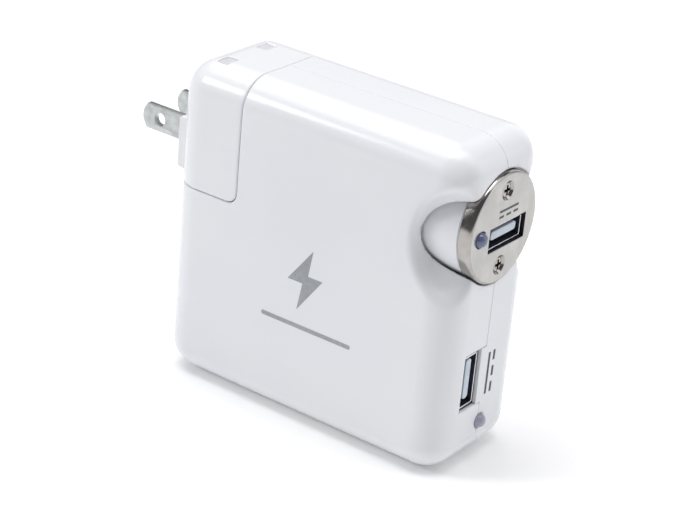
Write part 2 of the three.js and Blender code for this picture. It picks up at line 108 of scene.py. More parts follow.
class Paint:
    """A Principled material with small helpers for procedural detail."""

    def __init__(self, name, base, roughness, metallic=0.0, **sockets):
        self.material = bpy.data.materials.new(name)
        self.material.use_nodes = True
        self.tree = self.material.node_tree
        self.shader = self.tree.nodes["Principled BSDF"]
        self.shader.inputs["Base Color"].default_value = (*base, 1)
        self.shader.inputs["Roughness"].default_value = roughness
        self.shader.inputs["Metallic"].default_value = metallic
        for socket, value in sockets.items():
            self.shader.inputs[socket.replace("_", " ")].default_value = value
        self.coords = self.tree.nodes.new("ShaderNodeTexCoord").outputs["Object"]

    def link(self, source, target):
        self.tree.links.new(source, target)

    def noise(self, scale, detail=3.0, stretch=(1, 1, 1)):
        """A noise factor; scale is in features per metre."""
        mapping = self.tree.nodes.new("ShaderNodeMapping")
        mapping.inputs["Scale"].default_value = stretch
        self.link(self.coords, mapping.inputs["Vector"])
        noise = self.tree.nodes.new("ShaderNodeTexNoise")
        noise.inputs["Scale"].default_value = scale
        noise.inputs["Detail"].default_value = detail
        self.link(mapping.outputs["Vector"], noise.inputs["Vector"])
        return noise.outputs["Fac"]

    def wave(self, scale, axis="X", distortion=0.0):
        wave = self.tree.nodes.new("ShaderNodeTexWave")
        wave.bands_direction = axis
        wave.inputs["Scale"].default_value = scale
        wave.inputs["Distortion"].default_value = distortion
        self.link(self.coords, wave.inputs["Vector"])
        return wave.outputs["Fac"]

    def ramp(self, factor, low, high, start=0.3, stop=0.7):
        """A colour ramp between two greys or two colours."""
        ramp = self.tree.nodes.new("ShaderNodeValToRGB")
        ends = ramp.color_ramp.elements
        for end, place, value in zip(ends, (start, stop), (low, high)):
            end.position = place
            end.color = (value, value, value, 1) if np.isscalar(value) else (*value, 1)
        self.link(factor, ramp.inputs["Fac"])
        return ramp.outputs["Color"]

    def colour(self, factor, low, high, start=0.3, stop=0.7):
        self.link(self.ramp(factor, low, high, start, stop), self.shader.inputs["Base Color"])
        return self

    def rough(self, factor, low, high):
        self.link(self.ramp(factor, low, high), self.shader.inputs["Roughness"])
        return self

    def bump(self, factor, height, strength=0.5):
        bump = self.tree.nodes.new("ShaderNodeBump")
        bump.inputs["Strength"].default_value = strength
        bump.inputs["Distance"].default_value = height
        self.link(factor, bump.inputs["Height"])
        before = self.shader.inputs["Normal"]
        if before.is_linked:
            self.link(before.links[0].from_socket, bump.inputs["Normal"])
        self.link(bump.outputs["Normal"], self.shader.inputs["Normal"])
        return self


def gloss_white():
    paint = Paint("gloss_white", (0.86, 0.875, 0.9), 0.2, IOR=1.5)
    paint.colour(paint.noise(25, 2), (0.84, 0.858, 0.888), (0.875, 0.888, 0.908))
    paint.rough(paint.noise(900, 4), 0.16, 0.25)
    paint.bump(paint.noise(420, 2), 0.00004, 0.12)
    return paint.material


def satin_grey():
    paint = Paint("satin_grey", (0.66, 0.66, 0.69), 0.42)
    paint.colour(paint.noise(300), (0.62, 0.62, 0.65), (0.7, 0.7, 0.73))
    paint.bump(paint.noise(2500), 0.00003, 0.3)
    return paint.material


def satin_metal():
    paint = Paint("satin_metal", (0.5, 0.495, 0.475), 0.34, 1.0)
    grain = paint.noise(900, 4, (1, 1, 0.08))
    paint.colour(paint.noise(120, 3), (0.47, 0.465, 0.445), (0.54, 0.535, 0.515))
    paint.rough(grain, 0.27, 0.42)
    paint.bump(grain, 0.00001, 0.25)
    return paint.material


def polished_metal():
    paint = Paint("polished_metal", (0.42, 0.395, 0.375), 0.16, 1.0)
    paint.colour(paint.noise(300, 3), (0.38, 0.355, 0.335), (0.46, 0.44, 0.42))
    paint.rough(paint.noise(700, 4), 0.12, 0.24)
    paint.bump(paint.noise(350, 2), 0.00002, 0.1)
    return paint.material


def rolled_metal():
    paint = Paint("rolled_metal", (0.5, 0.51, 0.51), 0.34, 1.0)
    streaks = paint.noise(500, 5, (0.1, 1, 1))
    paint.colour(paint.noise(420, 5), (0.4, 0.425, 0.42), (0.59, 0.61, 0.6))
    paint.rough(streaks, 0.24, 0.46)
    paint.bump(streaks, 0.00003, 0.35)
    return paint.material


def plated_metal():
    paint = Paint("plated_metal", (0.72, 0.73, 0.75), 0.2, 1.0)
    paint.colour(paint.noise(400, 3), (0.68, 0.69, 0.71), (0.76, 0.77, 0.79))
    paint.rough(paint.noise(800, 4), 0.14, 0.3)
    paint.bump(paint.noise(1500, 3), 0.00001, 0.2)
    return paint.material


# Near-black metal that stands in for shade: painted shade inside the port shells, at their back, in the gaps
# round them, on the walls of the cap's port window and in the screws' cross recesses.
def painted_shade_metal():
    paint = Paint("painted_shade_metal", (0.03, 0.03, 0.045), 0.5, 0.6)
    paint.colour(paint.noise(600, 3), (0.02, 0.02, 0.032), (0.04, 0.042, 0.06))
    paint.rough(paint.noise(900, 3), 0.4, 0.6)
    paint.bump(paint.noise(1500, 3), 0.00001, 0.3)
    return paint.material


def brass_metal():
    paint = Paint("brass_metal", (0.7, 0.5, 0.22), 0.28, 1.0)
    paint.colour(paint.noise(200, 4), (0.6, 0.41, 0.17), (0.78, 0.58, 0.28))
    paint.rough(paint.noise(900, 3), 0.2, 0.4)
    return paint.material


def light_lens():
    paint = Paint("light_lens", (0.12, 0.14, 0.25), 0.16, Coat_Weight=0.6, Coat_Roughness=0.08)
    paint.colour(paint.noise(260, 2), (0.085, 0.1, 0.2), (0.15, 0.18, 0.31))
    paint.rough(paint.noise(700, 3), 0.12, 0.24)
    return paint.material


def pale_lens():
    paint = Paint("pale_lens", (0.36, 0.36, 0.45), 0.22, Coat_Weight=0.5, Coat_Roughness=0.1)
    paint.colour(paint.noise(260, 2), (0.3, 0.3, 0.4), (0.42, 0.42, 0.5))
    paint.rough(paint.noise(700, 3), 0.18, 0.3)
    return paint.material


def port_plastic():
    paint = Paint("port_plastic", (0.62, 0.7, 0.78), 0.35)
    paint.colour(paint.noise(500), (0.58, 0.66, 0.75), (0.66, 0.74, 0.82))
    paint.bump(paint.noise(2600), 0.00002, 0.3)
    return paint.material


def black_plastic():
    paint = Paint("black_plastic", (0.02, 0.02, 0.023), 0.45)
    paint.rough(paint.noise(1200), 0.38, 0.55)
    paint.bump(paint.noise(3000), 0.00003, 0.4)
    return paint.material


def solder_mask():
    paint = Paint("solder_mask", (0.03, 0.16, 0.06), 0.35, Coat_Weight=0.3)
    traces = paint.wave(140, "DIAGONAL", 6.0)
    paint.colour(traces, (0.02, 0.12, 0.045), (0.06, 0.26, 0.1), 0.45, 0.55)
    paint.bump(traces, 0.00004, 0.4)
    return paint.material


def ferrite():
    paint = Paint("ferrite", (0.05, 0.05, 0.055), 0.6)
    paint.colour(paint.noise(1800), (0.03, 0.03, 0.033), (0.09, 0.09, 0.095))
    paint.bump(paint.noise(2200), 0.00004, 0.5)
    return paint.material


def winding_tape():
    paint = Paint("winding_tape", (0.78, 0.53, 0.06), 0.32, Coat_Weight=0.3)
    layers = paint.wave(120, "Z", 1.0)
    paint.colour(layers, (0.66, 0.43, 0.04), (0.82, 0.58, 0.1))
    paint.bump(layers, 0.00005, 0.4)
    return paint.material


def copper_wire():
    paint = Paint("copper_wire", (0.62, 0.24, 0.09), 0.3, 1.0)
    turns = paint.wave(420, "X", 0.4)
    # The colour follows the same waves as the bump, darker in the grooves between turns: painted shade in the
    # creases.
    paint.colour(turns, (0.36, 0.12, 0.04), (0.75, 0.33, 0.14))
    paint.bump(turns, 0.0002, 0.7)
    return paint.material


def can_sleeve():
    paint = Paint("can_sleeve", (0.02, 0.04, 0.13), 0.25, Coat_Weight=0.4)
    paint.colour(paint.noise(150), (0.015, 0.03, 0.11), (0.03, 0.06, 0.17))
    paint.bump(paint.noise(900), 0.00003, 0.3)
    return paint.material


def bare_aluminium():
    paint = Paint("bare_aluminium", (0.6, 0.61, 0.62), 0.38, 1.0)
    grain = paint.noise(700, 4, (1, 1, 0.06))
    paint.rough(grain, 0.3, 0.5)
    paint.bump(grain, 0.00003, 0.4)
    return paint.material


def print_ink(name, base):
    paint = Paint(name, base, 0.38)
    paint.colour(paint.noise(1500), tuple(0.9 * c for c in base), tuple(1.1 * c for c in base))
    return paint.material


def floor_paper():
    paint = Paint("floor_paper", (0.93, 0.93, 0.93), 0.75, Emission_Strength=0.12)
    paint.shader.inputs["Emission Color"].default_value = (1.0, 1.0, 1.0, 1)
    paint.colour(paint.noise(6, 3), (0.925, 0.925, 0.925), (0.94, 0.94, 0.94))
    return paint.material


WHITE = gloss_white()
GREY = satin_grey()
SATIN = satin_metal()
POLISHED = polished_metal()
ROLLED = rolled_metal()
PLATED = plated_metal()
PAINTED_SHADE_METAL = painted_shade_metal()
BRASS = brass_metal()
LENS = light_lens()
PALE_LENS = pale_lens()
PORT_PLASTIC = port_plastic()
BLACK = black_plastic()
MASK = solder_mask()
FERRITE = ferrite()
TAPE = winding_tape()
COPPER = copper_wire()
SLEEVE = can_sleeve()
ALUMINIUM = bare_aluminium()
GREY_INK = print_ink("grey_ink", (0.37, 0.385, 0.4))
DARK_INK = print_ink("dark_ink", (0.035, 0.035, 0.06))


# ---------------------------------------------------------------- meshes

def piece_of(name, vertices, faces, material):
    """A mesh object from millimetre vertices."""
    mesh = bpy.data.meshes.new(name)
    mesh.from_pydata((np.asarray(vertices, float) * MM).tolist(), [], faces)
    mesh.update()
    piece = bpy.data.objects.new(name, mesh)
    bpy.context.scene.collection.objects.link(piece)
    mesh.materials.append(material)
    return piece


def shade(piece, angle=32):
    """Smooth shading that keeps edges sharper than the angle crisp."""
    mesh = bmesh.new()
    mesh.from_mesh(piece.data)
    bmesh.ops.recalc_face_normals(mesh, faces=mesh.faces)
    for face in mesh.faces:
        face.smooth = True
    for edge in mesh.edges:
        edge.smooth = len(edge.link_faces) == 2 and edge.calc_face_angle() < math.radians(angle)
    mesh.to_mesh(piece.data)
    mesh.free()
    return piece


def baked(piece):
    """Applies the piece's modifiers, or turns a curve into a mesh."""
    bpy.context.view_layer.update()
    evaluated = piece.evaluated_get(bpy.context.evaluated_depsgraph_get())
    mesh = bpy.data.meshes.new_from_object(evaluated)
    name, world = piece.name, piece.matrix_world.copy()
    bpy.data.objects.remove(piece)
    mesh.transform(world)
    mesh.name = name
    made = bpy.data.objects.new(name, mesh)
    bpy.context.scene.collection.objects.link(made)
    return made


def carved(piece, *cutters):
    """Cuts other pieces out of one, and deletes them."""
    for cutter in cutters:
        modifier = piece.modifiers.new("carve", "BOOLEAN")
        modifier.operation = "DIFFERENCE"
        modifier.solver = "EXACT"
        modifier.object = cutter
    piece = baked(piece)
    for cutter in cutters:
        bpy.data.objects.remove(cutter)
    return piece


def joined(name, *pieces):
    """Several pieces as one object, keeping each one's materials."""
    mesh = bmesh.new()
    materials = []
    for piece in pieces:
        first = len(mesh.faces)
        mesh.from_mesh(piece.data)
        mesh.faces.ensure_lookup_table()
        slots = list(piece.data.materials)
        for face in mesh.faces[first:]:
            material = slots[min(face.material_index, len(slots) - 1)]
            if material not in materials:
                materials.append(material)
            face.material_index = materials.index(material)
        bpy.data.objects.remove(piece)
    data = bpy.data.meshes.new(name)
    mesh.to_mesh(data)
    mesh.free()
    for material in materials:
        data.materials.append(material)
    made = bpy.data.objects.new(name, data)
    bpy.context.scene.collection.objects.link(made)
    return made


def turned(name, profile, material, y=0.0, z=None, sides=96):
    """A turned piece round an X axis, from (x, radius) pairs; a radius of 0 is a pole, else the ring closes."""
    z = AXIS_Z if z is None else z
    angles = np.linspace(0, 2 * math.pi, sides, endpoint=False)
    vertices, rings = [], []
    for x, radius in profile:
        if radius == 0:
            rings.append([len(vertices)])
            vertices.append((x, y, z))
            continue
        rings.append(list(range(len(vertices), len(vertices) + sides)))
        vertices += [(x, y + radius * math.cos(a), z + radius * math.sin(a)) for a in angles]
    faces = []
    pairs = list(zip(rings, rings[1:]))
    if profile[0][1] and profile[-1][1]:
        pairs.append((rings[-1], rings[0]))
    for a, b in pairs:
        for i in range(sides):
            j = (i + 1) % sides
            if len(a) == 1:
                faces.append((a[0], b[j], b[i]))
            elif len(b) == 1:
                faces.append((a[i], a[j], b[0]))
            else:
                faces.append((a[i], a[j], b[j], b[i]))
    return shade(piece_of(name, vertices, faces, material))


AXIS_FRAMES = {
    "x": Matrix(((0, 0, 1), (1, 0, 0), (0, 1, 0))),
    "y": Matrix(((1, 0, 0), (0, 0, -1), (0, 1, 0))),
    "z": Matrix.Identity(3),
}


def plate(name, loops, axis, span, material, bevel=0.1):
    """Outlines (the first, with the others as holes) extruded along an axis over a span, edges rounded."""
    curve = bpy.data.curves.new(name, "CURVE")
    curve.dimensions = "2D"
    curve.fill_mode = "BOTH"
    low, high = sorted(span)
    curve.bevel_depth = bevel * MM
    curve.offset = -bevel * MM
    curve.extrude = ((high - low) / 2 - bevel) * MM
    curve.bevel_resolution = 1
    for loop in loops:
        spline = curve.splines.new("POLY")
        spline.points.add(len(loop) - 1)
        for point, (u, v) in zip(spline.points, loop):
            point.co = (u * MM, v * MM, 0, 1)
        spline.use_cyclic_u = True
    piece = bpy.data.objects.new(name, curve)
    bpy.context.scene.collection.objects.link(piece)
    turn = AXIS_FRAMES[axis].to_4x4()
    shift = Vector([0, 0, 0])
    shift["xyz".index(axis)] = (low + high) / 2 * MM
    piece.matrix_world = Matrix.Translation(shift) @ turn
    made = baked(piece)
    made.data.materials.clear()
    made.data.materials.append(material)
    weld(made)
    return shade(made)


def weld(piece, distance=0.00001):
    mesh = bmesh.new()
    mesh.from_mesh(piece.data)
    bmesh.ops.remove_doubles(mesh, verts=mesh.verts, dist=distance)
    mesh.to_mesh(piece.data)
    mesh.free()
    return piece


def circle(u, v, radius, sides=64):
    angles = np.linspace(0, 2 * math.pi, sides, endpoint=False)
    return [(u + radius * math.cos(a), v + radius * math.sin(a)) for a in angles]


def rounded_rectangle(u, v, wide, tall, radius, steps=6):
    loop = []
    corners = ((1, 1, 0), (-1, 1, 90), (-1, -1, 180), (1, -1, 270))
    for side_u, side_v, start in corners:
        for step in range(steps + 1):
            angle = math.radians(start + 90 * step / steps)
            loop.append((
                u + side_u * (wide / 2 - radius) + radius * math.cos(angle),
                v + side_v * (tall / 2 - radius) + radius * math.sin(angle),
            ))
    return loop


# ---------------------------------------------------------------- distance fields for the moulded shells

def length(vectors):
    return np.sqrt((vectors ** 2).sum(-1))


def smooth_max(a, b, blend):
    """The larger of two fields, with a rounded edge where they meet."""
    overlap = np.maximum(blend - np.abs(a - b), 0) / blend
    return np.maximum(a, b) + overlap ** 2 * blend / 4


def smooth_min(a, b, blend):
    return -smooth_max(-a, -b, blend)


def rounded_block(p, low, high, radius):
    low, high = np.asarray(low, float), np.asarray(high, float)
    q = np.abs(p - (low + high) / 2) - ((high - low) / 2 - radius)
    return length(np.maximum(q, 0)) + np.minimum(q.max(-1), 0) - radius


def ellipsoid(p, centre, radii):
    near = length((p - centre) / radii)
    steep = length((p - centre) / radii ** 2)
    return near * (near - 1) / np.maximum(steep, 1e-9)


def rod_x(p, y, z, radius):
    return np.hypot(p[..., 1] - y, p[..., 2] - z) - radius


def figure_eight(p, radius):
    """Two round holes side by side across the depth, joined by a waist."""
    side = np.abs(p[..., 1]) - PIN_Y
    lobes = np.hypot(p[..., 0] - INLET_X, side) - radius
    waist = np.maximum(np.abs(p[..., 0] - INLET_X) - radius * 0.8, side)
    return np.minimum(lobes, waist)


def head_region(p, grow):
    """The corner that the plug head fills, with its rounded inner corner."""
    x = p[..., 0] - (SEAM_X - SEAM_CORNER)
    z = (SEAM_Z + SEAM_CORNER) - p[..., 2]
    both = np.stack([x, z], -1)
    return length(np.maximum(both, 0)) + np.minimum(both.max(-1), 0) - SEAM_CORNER - grow


def pebble(p, inset=0.0):
    """The charger's outer form: a block with fully rounded edges."""
    low = (-SIDE_X + inset, -HALF_DEPTH + inset, inset)
    high = (SIDE_X - inset, HALF_DEPTH - inset, HEIGHT - inset)
    return rounded_block(p, low, high, ROUND - inset)


def scooped(p):
    """The outer form with its two finger scoops."""
    mirrored = p.copy()
    mirrored[..., 1] = np.abs(mirrored[..., 1])
    return smooth_max(pebble(p), -ellipsoid(mirrored, SCOOP_CENTRE, SCOOP_RADII), SCOOP_BLEND)


def housing(p):
    """Both half shells before they are parted."""
    body = smooth_max(scooped(p), -head_region(p, SEAM_HALF), 0.5)
    bore = np.maximum(rod_x(p, 0, AXIS_Z, MOUTH_R), BORE_BLOCK_X - 1 - p[..., 0])
    body = smooth_max(body, -bore, 0.3)
    block = np.maximum(BORE_BLOCK_X - p[..., 0], np.abs(p[..., 2] - AXIS_Z) - BORE_BLOCK_HALF)
    hollow = np.maximum(np.maximum(pebble(p, WALL), -head_region(p, WALL)), -block)
    inlet = np.maximum(figure_eight(p, INLET_R), np.abs(p[..., 2] - SEAM_Z) - 4)
    stud = np.maximum(rod_x(p, 0, BUTTON_Z, BUTTON_HOLE), np.abs(p[..., 0] - SEAM_X) - 4)
    lens = np.maximum(rod_x(p, LOW_LIGHT[1], LOW_LIGHT[2], LOW_LIGHT_HOLE), SIDE_X - 4 - p[..., 0])
    for opening in (hollow, inlet, stud, lens):
        body = smooth_max(body, -opening, 0.25)
    return body


def low_window(p, low_y, high_y, margin):
    half = LOW_WINDOW[1] / 2 + margin
    low = (SIDE_X - WALL - 1, low_y, LOW_PORT[2] - half)
    high = (SIDE_X + 2, high_y, LOW_PORT[2] + half)
    return rounded_block(p, low, high, 0.15)


PARTING_HALF = 0.04
PARTING_EDGE = 0.1
SLIT_GAP = 0.06
INSERT_FLANGE = (0.55, 0.55, 0)
WINDOW_FRONT = LOW_PORT[1] - LOW_WINDOW[0] / 2
WINDOW_BACK = LOW_PORT[1] + LOW_WINDOW[0] / 2


def front_field(p):
    body = smooth_max(housing(p), p[..., 1] - PARTING_Y + PARTING_HALF, PARTING_EDGE)
    return smooth_max(body, -low_window(p, WINDOW_FRONT, 8, 0), 0.5)


def back_field(p):
    lip = np.maximum(low_window(p, WINDOW_BACK, 8, -0.05), SIDE_X - WALL - p[..., 0])
    region = np.minimum(PARTING_Y + PARTING_HALF - p[..., 1], lip)
    return smooth_max(housing(p), region, PARTING_EDGE)


def head_field(p):
    block = smooth_max(pebble(p), head_region(p, -SEAM_HALF), 0.5)
    boss = rounded_block(
        p, (BOSS_X, -BOSS_HALF_WIDTH, BOSS_LOW), (-SIDE_X + 6, BOSS_HALF_WIDTH, BOSS_HIGH), BOSS_EDGE)
    ahead = BOSS_X - p[..., 0] + BOSS_CHAMFER
    for over in (p[..., 2] - BOSS_HIGH, BOSS_LOW - p[..., 2]):
        boss = smooth_max(boss, (ahead + over) * math.sqrt(0.5), 0.2)
    body = smooth_min(block, boss, 0.4)
    body = smooth_max(body, -pebble(p, WALL), 0.2)
    for node in ("blade_front", "blade_back"):
        low, high = box_mm(node)
        start = (-60, low[1] - SLIT_GAP, low[2] - SLIT_GAP)
        stop = (-30, high[1] + SLIT_GAP, high[2] + SLIT_GAP)
        body = smooth_max(body, -rounded_block(p, start, stop, 0.1), 0.2)
    for node in ("top_plug_front", "top_plug_back"):
        low, high = box_mm(node)
        low, high = low + INSERT_FLANGE, high - INSERT_FLANGE
        body = smooth_max(body, -rounded_block(p, low, high + (0, 0, 5), 0.2), 0.3)
    return body


def ruler(low, high, coarse, *bands):
    """Grid lines from low to high, coarse apart, and closer inside each (from, to, step) band."""
    marks = [low]
    while marks[-1] < high:
        here = marks[-1] + 1e-6
        step = min([coarse] + [fine for start, stop, fine in bands if start <= here < stop])
        ahead = [start for start, _, _ in bands if start > here]
        marks.append(min([marks[-1] + step] + ahead))
    return np.array(marks)


def gradient(field, p, reach=0.004):
    parts = []
    for axis in range(3):
        step = np.zeros(3)
        step[axis] = reach
        parts.append((field(p + step) - field(p - step)) / (2 * reach))
    return np.stack(parts, -1)


def net(name, field, rulers, material):
    """The surface where a field is zero, as quads.

    Each crossed cell gets one vertex, set by the planes that cross it.
    """
    grid = np.stack(np.meshgrid(*rulers, indexing="ij"), -1)
    values = field(grid)
    cells = np.array(values.shape) - 1
    planes = np.zeros((cells.prod(), 3, 3))
    pulls = np.zeros((cells.prod(), 3))
    middles = np.zeros((cells.prod(), 3))
    counts = np.zeros(cells.prod())
    quads = []
    for axis in range(3):
        near = tuple(slice(None, -1) if i == axis else slice(None) for i in range(3))
        far = tuple(slice(1, None) if i == axis else slice(None) for i in range(3))
        a, b = values[near], values[far]
        where = np.argwhere((a < 0) != (b < 0))
        u, v = (axis + 1) % 3, (axis + 2) % 3
        inner = (where[:, u] > 0) & (where[:, v] > 0)
        inner &= (where[:, u] < cells[u]) & (where[:, v] < cells[v])
        where = where[inner]
        index = tuple(where.T)
        share = (a[index] / (a[index] - b[index]))[:, None]
        points = grid[near][index] * (1 - share) + grid[far][index] * share
        normals = gradient(field, points)
        normals /= np.maximum(length(normals), 1e-9)[:, None]
        corners = []
        for du, dv in ((1, 1), (0, 1), (0, 0), (1, 0)):
            cell = where.copy()
            cell[:, u] -= du
            cell[:, v] -= dv
            flat = np.ravel_multi_index(tuple(cell.T), tuple(cells))
            corners.append(flat)
            np.add.at(counts, flat, 1)
            np.add.at(middles, flat, points)
            np.add.at(planes, flat, normals[:, :, None] * normals[:, None, :])
            np.add.at(pulls, flat, normals * (normals * points).sum(-1, keepdims=True))
        quad = np.stack(corners, -1)
        outward = a[index] < 0
        quads.append(np.where(outward[:, None], quad, quad[:, ::-1]))
    used = np.flatnonzero(counts)
    middle = middles[used] / counts[used][:, None]
    pull = pulls[used] - (planes[used] @ middle[:, :, None])[..., 0]
    move = np.linalg.solve(planes[used] + 0.05 * np.eye(3), pull[..., None])[..., 0]
    cell = np.stack(np.unravel_index(used, tuple(cells)), -1)
    low = np.stack([rulers[i][cell[:, i]] for i in range(3)], -1)
    high = np.stack([rulers[i][cell[:, i] + 1] for i in range(3)], -1)
    points = np.clip(middle + move, low, high)
    for _ in range(3):
        slope = gradient(field, points)
        pace = np.maximum((slope ** 2).sum(-1), 0.2)
        points = points - np.clip(field(points) / pace, -0.3, 0.3)[:, None] * slope
    renumber = np.zeros(cells.prod(), int)
    renumber[used] = np.arange(len(used))
    faces = renumber[np.concatenate(quads)]
    piece = piece_of(name, points, faces.tolist(), material)
    for polygon in piece.data.polygons:
        polygon.use_smooth = True
    normals = gradient(field, points)
    normals /= np.maximum(length(normals), 1e-9)[:, None]
    piece.data.normals_split_custom_set_from_vertices(normals.tolist())
    return piece


# ---------------------------------------------------------------- housing and plug head

ROUND_BAND = 0.8


def finish_piece(piece, body, slot, *nodes):
    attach(piece, body)
    if nodes:
        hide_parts(*nodes)
    return piece


def shell_rulers(depth_band):
    edge_x = [(-SIDE_X - 0.2, -SIDE_X + 0.5, 0.2), (SIDE_X - 0.5, SIDE_X + 0.4, 0.2)]
    round_x = [(-SIDE_X - 0.2, -SIDE_X + ROUND, ROUND_BAND), (26, SIDE_X + 0.4, 0.45)]
    seam_x = [(SEAM_X - 0.2, SEAM_X + 0.8, 0.16), (SEAM_X - 4, SEAM_X, 0.5)]
    inlet_x = [(INLET_X - 4.5, INLET_X + 4.5, 0.5)]
    x = ruler(-SIDE_X - 0.5, SIDE_X + 0.7, 3.0, *edge_x, *round_x, *seam_x, *inlet_x)
    z = ruler(
        -0.5, HEIGHT + 0.6, 2.5,
        (-0.2, 0.5, 0.2), (-0.2, ROUND, ROUND_BAND), (LOW_LIGHT[2] - 2.6, LOW_LIGHT[2] + 2.6, 0.24),
        (LOW_PORT[2] - 7.7, LOW_PORT[2] - 6.8, 0.16), (LOW_PORT[2] + 6.8, LOW_PORT[2] + 7.7, 0.16),
        (AXIS_Z - 16, AXIS_Z + 14.5, 0.45), (SEAM_Z - 0.8, SEAM_Z + 0.2, 0.16),
        (SEAM_Z, SEAM_Z + 4, 0.45),
        (HEIGHT - ROUND, HEIGHT + 0.4, ROUND_BAND), (HEIGHT - 0.5, HEIGHT + 0.4, 0.2),
    )
    return x, depth_band, z


def front_shell():
    y = ruler(
        -HALF_DEPTH - 0.6, PARTING_Y + 0.5, 1.0,
        (-HALF_DEPTH - 0.4, -HALF_DEPTH + 0.5, 0.22), (-HALF_DEPTH, -HALF_DEPTH + ROUND, 0.5),
        (WINDOW_FRONT - 0.5, WINDOW_FRONT + 0.5, 0.16), (WINDOW_BACK - 0.4, WINDOW_BACK + 0.4, 0.2),
        (-1.3, PARTING_Y - 0.4, 0.24), (PARTING_Y - 0.4, PARTING_Y + 0.3, 0.1),
    )
    shell = net("front_half_shell", front_field, shell_rulers(y), WHITE)
    return finish_piece(shell, "housing", "white_housing", "front_shell")


def back_shell():
    y = ruler(
        WINDOW_BACK - 0.5, HALF_DEPTH + 0.6, 1.0,
        (WINDOW_BACK - 0.4, WINDOW_BACK + 0.4, 0.12), (PARTING_Y - 0.3, PARTING_Y + 0.4, 0.1),
        (PARTING_Y, 3.4, 0.24), (HALF_DEPTH - ROUND, HALF_DEPTH, 0.5),
        (HALF_DEPTH - 0.5, HALF_DEPTH + 0.4, 0.22),
    )
    shell = net("back_half_shell", back_field, shell_rulers(y), WHITE)
    return finish_piece(shell, "housing", "white_housing", "back_shell")


def head_shell():
    blade_low, blade_high = box_mm("blade_back")
    x = ruler(
        BOSS_X - 0.5, SEAM_X + 0.5, 1.2,
        (BOSS_X - 0.3, BOSS_X + 1.3, 0.18), (BOSS_X, -SIDE_X + ROUND, 0.5),
        (-34.5, -29.6, 0.35), (SEAM_X - 0.6, SEAM_X + 0.2, 0.14),
    )
    half = [
        (-0.1, blade_low[1] - 0.5, 1.2), (blade_low[1] - 0.4, blade_high[1] + 0.4, 0.14),
        (BOSS_HALF_WIDTH - 0.6, BOSS_HALF_WIDTH + 0.3, 0.18), (HALF_DEPTH - ROUND, HALF_DEPTH, 0.5),
        (HALF_DEPTH - 0.5, HALF_DEPTH + 0.4, 0.25),
    ]
    mirror = [(-stop, -start, step) for start, stop, step in half]
    y = ruler(-HALF_DEPTH - 0.6, HALF_DEPTH + 0.6, 0.9, *half, *mirror)
    z = ruler(
        SEAM_Z - 0.4, HEIGHT + 0.6, 1.2,
        (SEAM_Z - 0.2, SEAM_Z + 0.8, 0.14), (SEAM_Z, SEAM_Z + 3.2, 0.4),
        (blade_low[2] - 0.4, blade_low[2] + 0.4, 0.16), (blade_high[2] - 0.4, blade_high[2] + 0.4, 0.16),
        (BOSS_LOW - 0.3, BOSS_LOW + 1.2, 0.2), (BOSS_HIGH - 1.2, BOSS_HIGH + 0.3, 0.2),
        (HEIGHT - ROUND, HEIGHT + 0.4, 0.5), (HEIGHT - 0.5, HEIGHT + 0.4, 0.2),
    )
    shell = net("plug_head_casing", head_field, (x, y, z), WHITE)
    return finish_piece(shell, "plug_head", "white_housing", "plug_head_shell")


def blade_piece(node):
    low, high = box_mm(node)
    middle = (low[2] + high[2]) / 2
    tip_arc = []
    for step in range(17):
        share = step / 16 * 2 - 1
        tip_arc.append((low[0] + 1.35 * share ** 2, middle + share * (high[2] - low[2]) / 2))
    outline = [(high[0], high[2]), (high[0], low[2])] + tip_arc
    hole = circle(low[0] + 5.4, middle, 1.6, 48)
    blade = plate(node + "_metal", [outline, hole], "y", (low[1], high[1]), ROLLED, 0.12)
    return finish_piece(blade, "plug_head", "blade_metal", node)


def top_insert(node):
    low, high = box_mm(node)
    u, v = (low[0] + high[0]) / 2, (low[1] + high[1]) / 2
    wide, deep = high[0] - low[0], high[1] - low[1]
    foot = plate("foot", [rounded_rectangle(u, v, wide, deep, 0.3)], "z", (low[2], low[2] + 0.9), GREY)
    block = plate(
        "block", [rounded_rectangle(u, v, wide - 1.2, deep - 1.2, 0.2)], "z", (low[2] + 0.8, high[2]), GREY)
    return finish_piece(joined(node + "_insert", foot, block), "plug_head", "grey_insert", node)


front_shell()
back_shell()
head_shell()
for blade_node in ("blade_front", "blade_back"):
    blade_piece(blade_node)
for plug_node in ("top_plug_front", "top_plug_back"):
    top_insert(plug_node)


# ---------------------------------------------------------------- USB-A ports

SHEET = 0.42
TONGUE_THICK = 2.1
TONGUE_INSET = 1.3
TONGUE_ROUND = 0.8
CONTACT_STEPS = (-3.5, -1.0, 1.0, 3.5)


def repaint(piece, material, test):
    """Gives another material to the faces whose centre, in millimetres, passes a test."""
    piece.data.materials.append(material)
    slot = len(piece.data.materials) - 1
    for face in piece.data.polygons:
        if test(np.array(face.center) / MM):
            face.material_index = slot
    return piece


